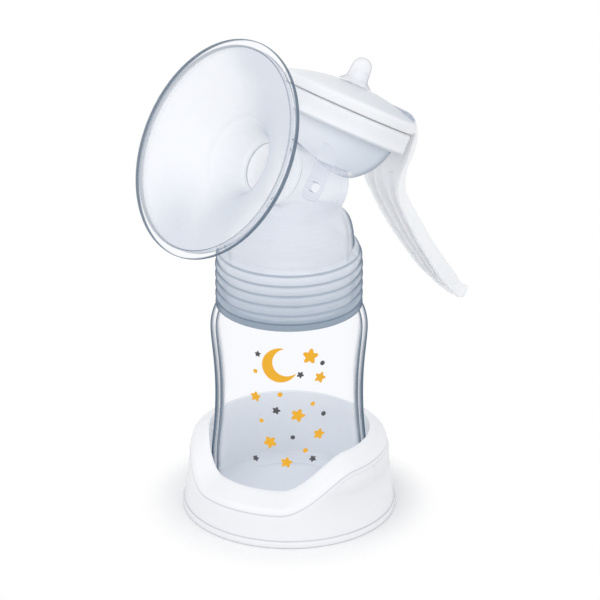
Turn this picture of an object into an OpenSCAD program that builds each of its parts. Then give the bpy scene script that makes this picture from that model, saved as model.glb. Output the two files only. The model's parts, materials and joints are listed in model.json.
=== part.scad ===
// Manual breast pump. A bottle sits in a weighted-looking round stand. The clear
// pump body screws onto the bottle and carries a breast funnel on a tilted tube,
// a bowl with a silicone diaphragm, and a lever that lifts the diaphragm's stem.
// Millimetres, +Z up. The origin is the centre of the stand's foot on the table,
// +X points from the bottle's axis to the handle, and -X to the funnel.

/* [Stand] */
// Diameter of the stand's foot
stand_d = 86; // [82:1:96]
// Height of the flange round the foot
foot_h = 3; // [2:0.5:5]
// How far the wall stands in from the flange
foot_step = 0.6; // [0.3:0.1:1.2]
// Inward lean of the stand's wall, in millimetres per millimetre of height
stand_lean = 0.12; // [0.08:0.01:0.15]
// Height of the rim round the back
rim_high = 34; // [30:1:38]
// Height of the rim in the dip
rim_low = 20.5; // [16:0.5:24]
// Direction in which the dip faces
dip_turn = -156.5; // [-180:0.5:180]
// Fall of the rim's broad edge, in millimetres per millimetre outwards
edge_fall = 0.6; // [0.3:0.05:0.8]
// Wall of the stand
stand_wall = 2; // [1.6:0.1:2.6]
// Height of the floor on which the bottle rests
seat_h = 5; // [4:0.5:8]
// Number of stiffening ribs under the stand
stand_ribs = 8; // [4:1:12]

/* [Bottle] */
// Diameter of the bottle's body
bottle_d = 62.8; // [60:0.2:66]
// Height of the bottle from its base to its mouth
bottle_h = 97; // [90:1:120]
// Wall of the bottle
bottle_wall = 2; // [1.5:0.1:2.5]
// Height of the neck
neck_h = 12.3; // [10:0.1:14]
// Outside diameter of the neck
neck_d = 49.8; // [46:0.2:52]
// Height of the rounded shoulder
shoulder_h = 14; // [10:1:20]
// Radius of the rounded edge of the base
base_round = 4; // [2:0.5:6]
// Depth of each hand grip at its middle
grip_depth = 2.1; // [1:0.1:3]
// Sideways radius of the grips
grip_flat_r = 46; // [40:1:60]
// Lengthwise radius of the grips
grip_sweep_r = 182; // [140:2:240]
// Direction in which the first grip faces
grip_turn = -36.5; // [-180:0.5:180]

/* [Pump body] */
// Greatest diameter of the ribbed screw collar
collar_d = 58.4; // [56:0.2:62]
// Gap between the bottle's shoulder and the collar
collar_gap = 0.4; // [0.3:0.1:1]
// Height of the collar above the sealing shelf
collar_rise = 9; // [7:0.5:12]
// Wall of the pump body
body_wall = 2; // [1.5:0.1:2.5]
// Height of the dome above the collar
dome_h = 22.5; // [20:0.5:25]
// Outside diameter of the tilted tube
tube_d = 28; // [27:0.2:30]
// Wall of the tilted tube
tube_wall = 1.6; // [1.2:0.1:2]
// Tilt of the tube and the bowl
head_tilt = 30; // [26:0.5:34]
// Height of the head's centre above the bottle's mouth
head_rise = 32.6; // [31:0.2:36]
// Offset of the head's centre from the bottle's axis, towards the handle
head_x = 11.4; // [9:0.2:14]
// How far the tube runs past the bowl's axis
tube_tail = 6.5; // [6:0.5:9]
// Thickness of the flat seal on the bottle's mouth
seal_t = 1.5; // [1:0.1:2.5]

/* [Funnel] */
// Diameter of the funnel's rim
funnel_d = 87.8; // [80:0.2:94]
// Distance from the bowl's axis to the plane of the rim
funnel_reach = 53.5; // [50:0.5:60]
// Diameter of the tunnel
tunnel_d = 20; // [18:0.2:21]
// Depth at which the flange turns into the throat
crease_deep = 12; // [9:0.5:14]
// Diameter at which the flange turns into the throat
crease_d = 34; // [30:0.5:38]
// Depth at which the throat becomes the tunnel
throat_deep = 27.7; // [24:0.1:30]
// Depth of the tunnel's end
stem_deep = 39.4; // [37:0.2:40]
// Wall of the funnel
funnel_wall = 1.2; // [1:0.1:1.5]
// Thickness of the silicone cushion in the funnel
cushion_t = 1; // [0.8:0.1:1.2]
// Radius of the funnel's rolled rim
rim_roll = 1.9; // [1.4:0.1:2.4]

/* [Bowl] */
// Outside radius of the round bowl
bowl_r = 23.2; // [22:0.1:24.5]
// Height of the bowl's rim above the tube's axis
bowl_rise = 25.4; // [24:0.2:28]
// Height of the bowl's round centre above its rim
bowl_lift = 3; // [2:0.2:5]
// Wall of the bowl
bowl_wall = 2; // [1.5:0.1:2.4]
// Distance from the bowl's axis to the snap studs, towards the funnel
stud_back = 12.6; // [11:0.2:14]
// Diameter of the snap studs
stud_d = 3.8; // [3:0.2:4.6]
// Width of the snap tongues
tongue_w = 8; // [7:0.5:10]

/* [Diaphragm] */
// Thickness of the diaphragm
membrane_t = 1.2; // [0.8:0.1:1.4]
// Thickness of the diaphragm's rim
bead_t = 1.7; // [1.4:0.1:2.2]
// Diameter of the stem
stem_d = 6; // [5:0.2:6.6]
// Length of the pull tab above the handle
tab_h = 9.4; // [7:0.2:12]
// Width of the pull tab along the handle
tab_w = 11.6; // [10:0.2:13]
// Thickness of the pull tab
tab_t = 7.4; // [6.8:0.2:9]

/* [Cap] */
// Diameter of the cap
cap_d = 55; // [54:0.2:58]
// Height of the cap above the bowl's rim
cap_h = 8.6; // [8.2:0.2:9]
// Wall of the cap
cap_wall = 1.9; // [1.5:0.1:2.1]

/* [Handle] */
// Diameter of the handle's hood over the cap
hood_d = 56; // [55:0.2:60]
// Height of the hood's skirt
skirt_h = 3.9; // [3.5:0.1:5]
// Rise of the hood's crown above its skirt
crown_h = 5.2; // [4.8:0.2:7]
// Thickness of the handle's walls
handle_wall = 1.7; // [1.4:0.1:2]
// Width of the handle over its shoulder
shoulder_w = 24; // [23:0.5:26]
// Width of the grip under the shoulder
grip_w = 21; // [19:0.5:22]
// Width of the grip near its tip
tip_w = 13; // [10:0.5:15]
// Length of the grip beyond the hood
grip_len = 70.2; // [55:0.5:80]
// Thickness of the two ribs inside the grip
rib_t = 1.2; // [0.9:0.1:1.6]
// Diameter of the handle's pivot pin
pin_d = 2.4; // [2:0.1:2.6]

/* [Fits] */
// Radial clearance of pieces that slide or turn
slide_gap = 0.08; // [0.05:0.01:0.1]
// Clearance round soft pieces and pieces that snap on
snap_gap = 0.15; // [0.1:0.01:0.2]
// Clearance between pieces that lie face to face
face_gap = 0.05; // [0.03:0.01:0.1]
// Clearance round soft pieces that other pieces move past
soft_gap = 0.3; // [0.3:0.05:0.5]
// Clearance between pieces that pass each other freely
free_gap = 0.4; // [0.3:0.05:0.5]

/* [Hidden] */
$fn = 96;
cut = 1;            // how far cutters run past the solid they cut

// Stand
cup_r = bottle_d/2 + 2*free_gap;
dip_flat = 24;      // half angle over which the dip stays level
dip_end = 72;       // half angle at which the rim is back at full height
dip_steps = 72;

// Bottle
bottle_r = bottle_d/2;
neck_r = neck_d/2;
mouth_z = seat_h + bottle_h;
grip_z = seat_h + 45;

// Pump body
collar_r = collar_d/2;
collar_z = mouth_z - neck_h + collar_gap;
shelf_z = mouth_z + seal_t + 2*soft_gap;
shelf_t = 2.2;
collar_top = shelf_z + collar_rise;
dome_top = collar_top + dome_h;
head_z = mouth_z + head_rise;
tube_r = tube_d/2;
bore_r = tube_r - tube_wall;
tube_mouth = -funnel_reach + 30.5;
plug_t = 1;
spigot_r = 8.5;
spigot_z = mouth_z - 1;
port_r = 4.6;
tail_groove = 4.8;   // from the tail's end to the groove round the tube

// Bowl, diaphragm and cap, as heights along the bowl's axis
bowl_z = bowl_rise + bowl_lift;
saddle_r = tube_r + snap_gap;
flange_z = bowl_rise + 3;
bead_z = flange_z + face_gap;
clamp_z = bead_z + bead_t + face_gap;
cap_r = cap_d/2;
cap_z = bowl_rise + cap_h;
flange_r = cap_r - cap_wall - snap_gap;
floor_z = saddle_r + bowl_wall;
disc_z = floor_z + 0.9;
disc_t = 1.3;
disc_r = 6.5;
centre_z = disc_z + disc_t + soft_gap;
washer_z = centre_z + membrane_t + soft_gap;
washer_t = 2;
spout_r = port_r - 1.1;
spout_bore = spout_r - 1.1;

// Handle
hood_r = hood_d/2;
skirt_z = cap_z + free_gap;
crown_z = skirt_z + skirt_h + crown_h;
pin_x = cap_r - 0.9;
pin_z = cap_z - 0.6;
knuckle_w = 12.2;
knuckle_r = 2.9;
cheek_w = 2.4;
fork_r = 1.2;
fork_z = cap_z + 2;
collar_lift_z = fork_z + fork_r + 2*slide_gap;
collar_lift_t = 1.3;
collar_lift_r = 4.8;
tab_z = crown_z + 1.3;
tab_shift = -3.4;   // the tab stands over the funnel's side of the stem

// ---- curves -------------------------------------------------------------

// Points on an arc about c, from angle a to angle b
function arc(c, r, a, b, n) =
    [for (i = [0:n]) let (t = a + (b - a)*i/n) c + r*[cos(t), sin(t)]];

// Points on a quadratic curve from a to c, pulled towards b
function bend(a, b, c, n) =
    [for (i = [0:n]) let (t = i/n) a*(1 - t)*(1 - t) + 2*b*t*(1 - t) + c*t*t];

// A smooth curve through every point of a list
function knot(p, i) = p[min(max(i, 0), len(p) - 1)];
function blend3(a, b, c, d, t) =
    0.5*(2*b + (c - a)*t + (2*a - 5*b + 4*c - d)*t*t + (3*b - a - 3*c + d)*t*t*t);
function smooth(p, n) =
    [for (i = [0:len(p) - 2]) for (k = [0:n - 1])
        blend3(knot(p, i - 1), p[i], p[i + 1], knot(p, i + 2), k/n),
     p[len(p) - 1]];

// The curve that lies t behind a curve running inwards
function behind(p, t) =
    [for (i = [0:len(p) - 1])
        let (d = knot(p, i + 1) - knot(p, i - 1)) p[i] + t*[d[1], -d[0]]/norm(d)];

function backwards(p) = [for (i = [len(p) - 1:-1:0]) p[i]];

// ---- places -------------------------------------------------------------

// The tilted head: x towards the handle, z up the bowl's axis, on the tube's axis
module head() {
    translate([head_x, 0, head_z]) rotate([0, head_tilt, 0]) children();
}

// Along the funnel: z runs inwards from the plane of the rim
module along_funnel() {
    head() translate([-funnel_reach, 0, 0]) rotate([0, 90, 0]) children();
}

// A shape drawn in the head's x and z, made w wide across it
module across(w) {
    rotate([90, 0, 0]) translate([0, 0, -w/2]) linear_extrude(w) children();
}

module ring(r_out, r_in, h) {
    difference() {
        cylinder(r = r_out, h = h);
        translate([0, 0, -cut]) cylinder(r = r_in, h = h + 2*cut);
    }
}

// ---- stand --------------------------------------------------------------

// Height of the rim's inner edge in direction a
function rim_z(a) =
    let (off = abs(((a - dip_turn + 540) % 360) - 180),
         t = min(max((off - dip_flat)/(dip_end - dip_flat), 0), 1))
    rim_low + (rim_high - rim_low)*t*t*(3 - 2*t);

// Everything above the rim's wavy, outward-falling edge, lowered by drop
module above_rim(drop) {
    inner = cup_r - 2;
    outer = stand_d/2 + 3;
    top = rim_high + 6;
    n = dip_steps;
    ring_points = [for (i = [0:n - 1]) let (a = 360*i/n)
        for (p = [[inner, rim_z(a) - edge_fall*(inner - cup_r) - drop],
                  [outer, rim_z(a) - edge_fall*(outer - cup_r) - drop],
                  [outer, top], [inner, top]])
            [p[0]*cos(a), p[0]*sin(a), p[1]]];
    faces = [for (i = [0:n - 1]) for (k = [0:3])
        let (a = 4*i + k, b = 4*i + (k + 1)%4,
             c = 4*((i + 1)%n) + (k + 1)%4, d = 4*((i + 1)%n) + k)
        for (f = [[a, b, c], [a, c, d]]) f];
    polyhedron(ring_points, faces, convexity = 6);
}

module stand_outline(inset) {
    foot_r = stand_d/2 - inset;
    wall_r = foot_r - foot_step;
    top = rim_high + 2;
    polygon(concat(
        [[cup_r + inset, inset > 0 ? -cut : 0], [foot_r - 0.6, inset > 0 ? -cut : 0]],
        arc([foot_r - 0.6, foot_h - 0.6], 0.6, 0, 90, 5),
        [[wall_r, foot_h], [wall_r - stand_lean*(top - foot_h), top], [cup_r + inset, top]]));
}

module stand() {
    color("ghostwhite")
    difference() {
        union() {
            difference() {
                rotate_extrude() stand_outline(0);
                above_rim(0);
            }
            cylinder(r = cup_r + stand_wall, h = seat_h);
        }
        // hollow between the cup and the outer wall, with ribs left standing
        difference() {
            rotate_extrude() stand_outline(stand_wall);
            above_rim(1.2*stand_wall);
            for (i = [0:stand_ribs - 1])
                rotate([0, 0, 360*(i + 0.5)/stand_ribs])
                    translate([cup_r, -0.75, 1]) cube([stand_d/2 - cup_r, 1.5, rim_high]);
        }
        // hollow under the floor
        translate([0, 0, -cut]) cylinder(r = cup_r - 1, h = seat_h - 2.2 + cut);
    }
}

// ---- bottle -------------------------------------------------------------

module bottle_outline() {
    r = bottle_r;
    shoulder = bottle_h - neck_h;
    polygon(concat(
        [[0, 1.6], [r - 9, 0.4], [r - 7, 0]],
        arc([r - base_round, base_round], base_round, -90, 0, 8),
        bend([r, shoulder - shoulder_h], [r, shoulder - 2], [neck_r, shoulder], 12),
        [[neck_r, bottle_h - 0.6], [neck_r - 0.6, bottle_h], [0, bottle_h]]));
}

module bottle_cavity() {
    w = bottle_wall;
    r = bottle_r - w;
    round = max(base_round - w, 1.2);
    shoulder = bottle_h - neck_h;
    polygon(concat(
        [[0, 1.6 + w]],
        arc([r - round, round + w], round, -90, 0, 6),
        bend([r, shoulder - shoulder_h - w/2], [r, shoulder - 2 - w/2], [neck_r - w, shoulder - w/2], 12),
        [[neck_r - w, bottle_h + cut], [0, bottle_h + cut]]));
}

// The wheel-shaped space that hollows one grip, grown by the wall for the cavity
module grip_space(grow) {
    half = 24;
    rim_r = grip_sweep_r + grow + grip_flat_r;
    translate([bottle_r - grip_depth + grip_sweep_r, 0, grip_z - seat_h])
        rotate([90, 0, 0]) rotate_extrude(convexity = 4) difference() {
            translate([grip_sweep_r - 30, -half]) square([30 + grow + grip_flat_r, 2*half]);
            translate([rim_r, 0]) circle(r = grip_flat_r, $fn = 180);
        }
}

module grips(grow) {
    for (a = [0, 180]) rotate([0, 0, grip_turn + a]) grip_space(grow);
}

module bottle() {
    color("lightcyan", 0.45)
    translate([0, 0, seat_h])
    difference() {
        rotate_extrude() bottle_outline();
        grips(0);
        difference() {
            rotate_extrude() bottle_cavity();
            grips(bottle_wall);
        }
    }
}

module bottle_seal() {
    color("whitesmoke")
    translate([0, 0, mouth_z + soft_gap])
        ring(neck_r - 0.2, neck_r - bottle_wall - 0.3, seal_t);
}

// ---- pump body ----------------------------------------------------------

// One rounded ridge of the collar between two heights
function ridge(z0, z1, r) =
    [for (i = [0:4]) [r + 0.55*sin(180*i/5), z0 + (z1 - z0)*i/5]];

module body_outline() {
    r = collar_r - 0.55;
    z = collar_z;
    step = (collar_top - 6.4 - z)/4;
    dome_r = collar_r - 3.4;
    polygon(concat(
        [[0, z], [r - 0.5, z]],
        [for (k = [0:3]) each ridge(z + step*k + 0.4, z + step*(k + 1), r)],
        bend([r, collar_top - 6.2], [r + 0.7, collar_top - 4], [r - 0.4, collar_top - 2.4], 4),
        bend([r - 0.5, collar_top - 2.2], [r - 1, collar_top], [dome_r + 0.5, collar_top], 4),
        bend([dome_r, collar_top + 0.3], [dome_r - 0.4, collar_top + 0.78*dome_h],
             [dome_r - 13.8, dome_top], 14),
        [[0, dome_top + 0.6]]));
}

module body_hollow() {
    bore = neck_r + 0.5;
    dome_r = collar_r - 3.4 - body_wall;
    polygon(concat(
        [[0, collar_z - cut], [bore, collar_z - cut], [bore, shelf_z],
         [bore - 4, shelf_z], [bore - 4, shelf_z + shelf_t], [dome_r, shelf_z + shelf_t]],
        bend([dome_r, collar_top + 0.3], [dome_r - 0.4, collar_top + 0.76*dome_h],
             [dome_r - 12.6, dome_top - body_wall], 12),
        [[0, dome_top - body_wall]]));
}

module tube_outside() {
    along_funnel() {
        translate([0, 0, funnel_reach + tube_mouth])
            cylinder(r = tube_r, h = tube_tail - tube_mouth - plug_t);
        // rolled edge of the tube's mouth
        translate([0, 0, funnel_reach + tube_mouth]) rotate_extrude()
            polygon([[bore_r + 0.2, 0], [tube_r + 0.3, 0], [tube_r + 0.7, 0.4],
                     [tube_r + 0.7, 2.2], [tube_r, 3], [bore_r + 0.2, 3]]);
    }
}

module pump_body() {
    color("lightsteelblue", 0.5)
    difference() {
        union() {
            difference() {
                rotate_extrude(convexity = 6) body_outline();
                rotate_extrude(convexity = 6) body_hollow();
            }
            tube_outside();
            // spigot that carries the outlet valve
            translate([0, 0, spigot_z]) cylinder(r = spigot_r, h = dome_top - spigot_z - 4);
            // snap studs
            head() translate([-stud_back, 0, 0.9]) rotate([90, 0, 0])
                translate([0, 0, -tube_r - 2.3]) cylinder(d = stud_d, h = 2*tube_r + 4.6, $fn = 32);
        }
        // bore of the tube
        along_funnel() cylinder(r = bore_r, h = funnel_reach + tube_tail + cut);
        // drain from the tube down to the valve
        translate([0, 0, spigot_z - cut]) cylinder(r = spigot_r - 1.7, h = head_z - spigot_z + cut);
        // groove round the tube's tail
        head() translate([tube_tail - tail_groove, 0, 0]) rotate([0, 90, 0])
            ring(tube_r + 1, tube_r - 0.35, 0.6);
        // port for the bowl's spout
        head() cylinder(r = port_r, h = tube_r + cut);
        // the dome's top stays out of the space behind the plug
        head() translate([tube_tail - plug_t, 0, 0]) rotate([0, 90, 0])
            cylinder(r = tube_r + snap_gap, h = 30);
    }
}

module end_plug() {
    sleeve = 8.4;
    color("lightsteelblue", 0.5)
    head() difference() {
        translate([tube_tail - plug_t + face_gap, 0, 0]) rotate([0, 90, 0]) rotate_extrude()
            polygon(concat([[0, -1], [bore_r - 2.4, -1], [bore_r - 1.8, -1.6],
                [bore_r - 1.6, -sleeve], [bore_r - 0.4, -sleeve], [bore_r - slide_gap, 0.4 - sleeve],
                [bore_r - slide_gap, 0], [tube_r, 0]],
                arc([tube_r - 0.9, plug_t - 1], 0.9, 0, 90, 4),
                [[0, plug_t - 0.1]]));
        // notch that clears the port
        intersection() {
            cylinder(r = port_r + snap_gap, h = tube_r);
            translate([-20, -20, 0]) cube([20 + tube_tail - plug_t - 0.6, 40, tube_r]);
        }
    }
}

module outlet_valve() {
    sleeve_z = spigot_z - 1.5;
    inside = spigot_r + snap_gap;
    color("white")
    difference() {
        union() {
            translate([0, 0, sleeve_z]) cylinder(r = inside + 1.5, h = 9);
            hull() {
                translate([0, 0, sleeve_z - 0.3]) cylinder(r = inside + 1.2, h = 0.4, $fn = 32);
                translate([-1, -6.5, sleeve_z - 13]) cube([2, 13, 0.4]);
            }
        }
        translate([0, 0, spigot_z - face_gap]) cylinder(r = inside, h = 10);
        hull() {
            translate([0, 0, sleeve_z - 0.3]) cylinder(r = inside - 0.3, h = 1.8, $fn = 32);
            translate([-0.25, -5.3, sleeve_z - 12]) cube([0.5, 10.6, 0.4]);
        }
        translate([-0.15, -5.3, sleeve_z - 14]) cube([0.3, 10.6, 4]);
    }
}

// ---- funnel -------------------------------------------------------------

// The face towards the breast, from the lip inwards to the end at depth d
function trumpet(d) =
    let (lip = [funnel_d/2 - 2*rim_roll + 0.2, 1.5],
         crease = [crease_d/2, crease_deep],
         throat = [tunnel_d/2, throat_deep])
    concat(bend(lip, [0.55*lip[0] + 0.2*crease[0], 0.42*crease_deep], crease, 9),
           bend(crease + [-0.5, 1.1], [tunnel_d/2 + 2.6, 0.6*throat_deep], throat, 6),
           [[tunnel_d/2, d]]);

module funnel() {
    gap = cushion_t + snap_gap/3;
    face = behind(trumpet(stem_deep), gap);
    back = behind(trumpet(stem_deep), gap + funnel_wall);
    roll = [funnel_d/2 - rim_roll, rim_roll];
    color("lightsteelblue", 0.5)
    along_funnel() rotate_extrude(convexity = 6)
        polygon(concat(face, backwards(back), arc(roll, rim_roll, 105, -155, 13)));
}

module funnel_cushion() {
    face = trumpet(stem_deep - 2);
    back = behind(face, cushion_t);
    color("white", 0.7)
    along_funnel() rotate_extrude(convexity = 6)
        polygon(concat(face, backwards(back)));
}

// ---- bowl ---------------------------------------------------------------

module bowl_tongue(side) {
    y0 = saddle_r;
    t = 2;
    translate([-stud_back, side*(y0 + t/2), 0]) difference() {
        across(t) polygon([[-tongue_w/2, bowl_z - 10], [-tongue_w/2, -3], [-tongue_w/2 + 1.6, -4.6],
                           [tongue_w/2 - 1.6, -4.6], [tongue_w/2, -3], [tongue_w/2, bowl_z - 10]]);
        translate([0, 0, 0.9]) rotate([90, 0, 0]) translate([0, 0, -t])
            cylinder(r = stud_d/2 + snap_gap, h = 2*t, $fn = 32);
    }
}

module vacuum_bowl() {
    inner_r = bowl_r - bowl_wall;
    color("slategray", 0.7)
    head() difference() {
        union() {
            intersection() {
                translate([0, 0, bowl_z]) sphere(r = bowl_r);
                translate([0, 0, -5]) cylinder(r = bowl_r + 1, h = bowl_rise + 5);
            }
            translate([0, 0, bowl_rise - 0.4]) cylinder(r = flange_r, h = flange_z - bowl_rise + 0.4);
            for (side = [-1, 1]) bowl_tongue(side);
        }
        // inside of the bowl, down to the saddle's own floor
        difference() {
            translate([0, 0, bowl_z]) sphere(r = inner_r);
            rotate([0, 90, 0]) cylinder(r = floor_z, h = 80, center = true);
        }
        translate([0, 0, bowl_z - 0.5]) cylinder(r = inner_r, h = 10);
        // saddle that sits on the tube, leaving the spout
        difference() {
            rotate([0, 90, 0]) cylinder(r = saddle_r, h = 80, center = true);
            translate([0, 0, bore_r - 1]) cylinder(r = spout_r, h = 10);
        }
        translate([0, 0, bore_r - 2]) cylinder(r = spout_bore, h = 12);
    }
}

module bowl_seal() {
    color("white")
    head() translate([0, 0, bore_r - 0.6])
        ring(port_r - slide_gap, spout_r + slide_gap, tube_wall - 0.5);
}

// ---- diaphragm, stem and cap --------------------------------------------

module diaphragm() {
    t = membrane_t;
    inner_r = bowl_r - bowl_wall;
    hole_r = stem_d/2 + soft_gap;
    color("white", 0.8)
    head() rotate_extrude(convexity = 4)
        polygon(concat(
            [[hole_r, centre_z], [disc_r + 2, centre_z]],
            bend([disc_r + 2, centre_z], [inner_r - 3, centre_z + 0.3], [inner_r - 1.9, bead_z - 4], 6),
            [[inner_r - 1, bead_z - 1], [inner_r - 0.4, bead_z], [flange_r - 0.2, bead_z],
             [flange_r - 0.2, bead_z + bead_t], [inner_r - 1.5, bead_z + bead_t],
             [inner_r - 1 - t, bead_z + 0.6]],
            bend([inner_r - 1.9 - t, bead_z - 4], [inner_r - 4, centre_z + t + 0.6],
                 [disc_r + 2, centre_z + t], 6),
            [[hole_r, centre_z + t]]));
}

module stem() {
    color("white")
    head() union() {
        translate([0, 0, disc_z]) cylinder(r = disc_r, h = disc_t);
        translate([0, 0, disc_z]) cylinder(d = stem_d, h = tab_z - disc_z + 4);
    }
}

module stem_washer() {
    color("white")
    head() translate([0, 0, washer_z])
        ring(disc_r, stem_d/2 + slide_gap, washer_t);
}

module lift_collar() {
    color("white")
    head() translate([0, 0, collar_lift_z])
        ring(collar_lift_r, stem_d/2 + slide_gap, collar_lift_t);
}

// A soft tab, rounded off at its top and across its edges
module pull_tab() {
    w = tab_w/2;
    outline = [for (p = [[-0.8, 0], [-0.96, 0.14], [-0.86, 0.42], [-0.6, 0.76], [-0.18, 0.97],
                         [0.25, 1], [0.66, 0.9], [0.95, 0.66], [0.98, 0.14], [0.8, 0]])
        [p[0]*w, p[1]*tab_h]];
    color("white", 0.6)
    head() difference() {
        intersection() {
            translate([tab_shift, 0, tab_z]) across(tab_t) polygon(smooth(outline, 3));
            translate([tab_shift, 0, tab_z - cut]) rotate_extrude()
                polygon(concat([[0, 0], [w + 1, 0], [w + 1, 0.5*tab_h]],
                               arc([w - 3, 0.5*tab_h + cut], 4, 0, 50, 4),
                               [[0, tab_h + 2*cut]]));
        }
        cylinder(r = stem_d/2 + slide_gap, h = tab_z + 4 + face_gap);
    }
}

module cap_cheek(side) {
    translate([0, side*(knuckle_w/2 + slide_gap*2 + cheek_w/2), 0]) across(cheek_w)
        union() {
            translate([pin_x, pin_z]) circle(r = 2.6, $fn = 48);
            polygon([[pin_x - 6, clamp_z], [pin_x + 1.5, clamp_z], [pin_x + 2.6, pin_z],
                     [pin_x - 6, cap_z]]);
        }
}

module cap() {
    color("snow")
    head() difference() {
        union() {
            difference() {
                rotate_extrude(convexity = 6) polygon(concat(
                    [[0, bowl_rise - 0.2], [cap_r - 0.5, bowl_rise - 0.2], [cap_r, bowl_rise + 0.3],
                     [cap_r, cap_z - 2]],
                    arc([cap_r - 1.6, cap_z - 1.6], 1.6, 0, 90, 5),
                    [[0, cap_z]]));
                translate([0, 0, bowl_rise - cut]) cylinder(r = cap_r - cap_wall, h = cap_h - cap_wall + cut);
            }
            // ring that clamps the diaphragm's rim
            translate([0, 0, clamp_z]) ring(flange_r - 1, flange_r - 2.8, cap_z - clamp_z - 1);
            // guide for the stem
            translate([0, 0, cap_z - 4.5]) cylinder(r = stem_d/2 + 2, h = 4);
            for (side = [-1, 1]) cap_cheek(side);
        }
        translate([0, 0, bowl_rise]) cylinder(r = stem_d/2 + slide_gap, h = 20);
        // notch for the handle's knuckle
        translate([pin_x - knuckle_r - 0.6, -knuckle_w/2 - 2*slide_gap, clamp_z + 0.1])
            cube([20, knuckle_w + 4*slide_gap, 20]);
        // bore of the pivot
        translate([pin_x, 0, pin_z]) rotate([90, 0, 0])
            cylinder(r = pin_d/2 + slide_gap, h = 60, center = true, $fn = 48);
    }
}

module handle_pin() {
    len = knuckle_w + 4*slide_gap + 2*cheek_w;
    color("silver")
    head() translate([pin_x, 0, pin_z]) rotate([90, 0, 0])
        cylinder(d = pin_d, h = len, center = true, $fn = 48);
}

// ---- handle -------------------------------------------------------------

// Outer line of the arm and grip, from the hood down to the tip. The grip's
// part stretches with grip_len; distances run from the hood's edge and the cap.
back_line = concat(
    [for (p = [[-14, 8.6], [-5.6, 7], [-1, 4], [1.7, 1], [3.5, -2.7], [4.3, -7], [4.4, -11.4],
               [5.3, -15.6], [8, -19.8]])
        [hood_r + p[0], cap_z + p[1]]],
    [for (p = [[0.18, -23.7], [0.323, -29.3], [0.474, -35.1], [0.638, -40.4], [0.8, -44.9],
               [0.9, -48.2]])
        [hood_r + p[0]*grip_len, cap_z + p[1]]]);
front_line = concat(
    [for (p = [[0.4, 0.2], [1.2, -5], [2, -10], [2.1, -15], [4, -21.4]])
        [hood_r + p[0], cap_z + p[1]]],
    [for (p = [[0.12, -26.2], [0.271, -33.3], [0.413, -39.1], [0.551, -44.1], [0.719, -49.6],
               [0.897, -53.6]])
        [hood_r + p[0]*grip_len, cap_z + p[1]]]);
tip = [hood_r + grip_len - 3.3, cap_z - 51.4];

// Half the handle's width at x along the head
function half_w(x) = lookup(x, [
    [hood_r - 10, shoulder_w/2 + 1.5], [hood_r + 2, shoulder_w/2],
    [hood_r + 0.1*grip_len, grip_w/2], [hood_r + 0.4*grip_len, grip_w/2 - 1],
    [hood_r + 0.7*grip_len, tip_w/2 + 1.1], [hood_r + grip_len, tip_w/2 - 2.4]]);

// Side of the arm, or the room inside it once its back wall is left standing
module arm_side() {
    polygon(concat(smooth(back_line, 3), arc(tip, 3.3, 50, -85, 5),
                   backwards(smooth(front_line, 3))));
}

module arm_room() {
    line = behind(smooth(back_line, 3), handle_wall);
    polygon(concat([for (i = [6:len(line) - 2]) line[i]],
                   [[tip[0] - 10, cap_z - 60], [hood_r, cap_z - 40], [hood_r - 2, cap_z - 8]]));
}

// Plan of the arm and grip, each side set in by a wall
module arm_plan(wall, x_end) {
    xs = [for (i = [0:8]) hood_r - 9 + (x_end - hood_r + 9)*i/8];
    polygon(concat([for (x = xs) [x, half_w(x) - wall]],
                   backwards([for (x = xs) [x, wall - half_w(x)]])));
}

module upright() {
    translate([0, 0, cap_z - 70]) linear_extrude(100) children();
}

module rib_plan(side) {
    x0 = hood_r;
    x1 = hood_r + grip_len;
    polygon([[x0, side*0.34*half_w(x0) - rib_t/2], [x0, side*0.34*half_w(x0) + rib_t/2],
             [x1, side*0.3*half_w(x1) + rib_t/2], [x1, side*0.3*half_w(x1) - rib_t/2]]);
}

module arm() {
    difference() {
        intersection() {
            across(2*shoulder_w) arm_side();
            upright() arm_plan(0, hood_r + grip_len - 0.4);
        }
        // three channels between the side walls and two ribs
        difference() {
            intersection() {
                across(2*shoulder_w) arm_room();
                upright() arm_plan(1.4*handle_wall, hood_r + 0.9*grip_len);
            }
            for (side = [-1, 1])
                intersection() {
                    upright() rib_plan(side);
                    translate([hood_r, -20, cap_z - 70]) cube([grip_len, 40, 70 - 17]);
                }
        }
    }
}

module hood() {
    t = handle_wall;
    dome_r = (hood_r*hood_r + crown_h*crown_h)/(2*crown_h);
    edge_z = crown_z - crown_h;
    spread = asin((hood_r - 1.2)/dome_r);
    rotate_extrude(convexity = 4)
        polygon(concat(
            [[hood_r - t, skirt_z], [hood_r - 0.4, skirt_z], [hood_r, skirt_z + 0.4],
             [hood_r, edge_z - 0.6]],
            arc([0, crown_z - dome_r], dome_r, 90 - spread, 90, 12),
            arc([0, crown_z - dome_r], dome_r - t, 90, 90 - spread*0.93, 10),
            [[hood_r - t, edge_z - 1.6]]));
}

// Solid round the pin, joined to the shoulder and to the fork
module knuckle() {
    intersection() {
        across(knuckle_w) union() {
            translate([pin_x, pin_z]) circle(r = knuckle_r, $fn = 48);
            polygon([[pin_x - knuckle_r, pin_z + 1], [pin_x - 5, skirt_z + 0.8], [pin_x - 6, crown_z],
                     [pin_x + 12, crown_z], [pin_x + 8, pin_z - 6], [pin_x + 3.2, pin_z - 2],
                     [pin_x + 1.6, pin_z - 2.2]]);
        }
        union() {
            across(2*shoulder_w) arm_side();
            translate([0, 0, skirt_z]) cylinder(r = hood_r - 0.2, h = skirt_h + 2);
            translate([pin_x - 6, -20, pin_z - knuckle_r]) cube([knuckle_r + 5, 40, knuckle_r + 5]);
        }
    }
}

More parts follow.
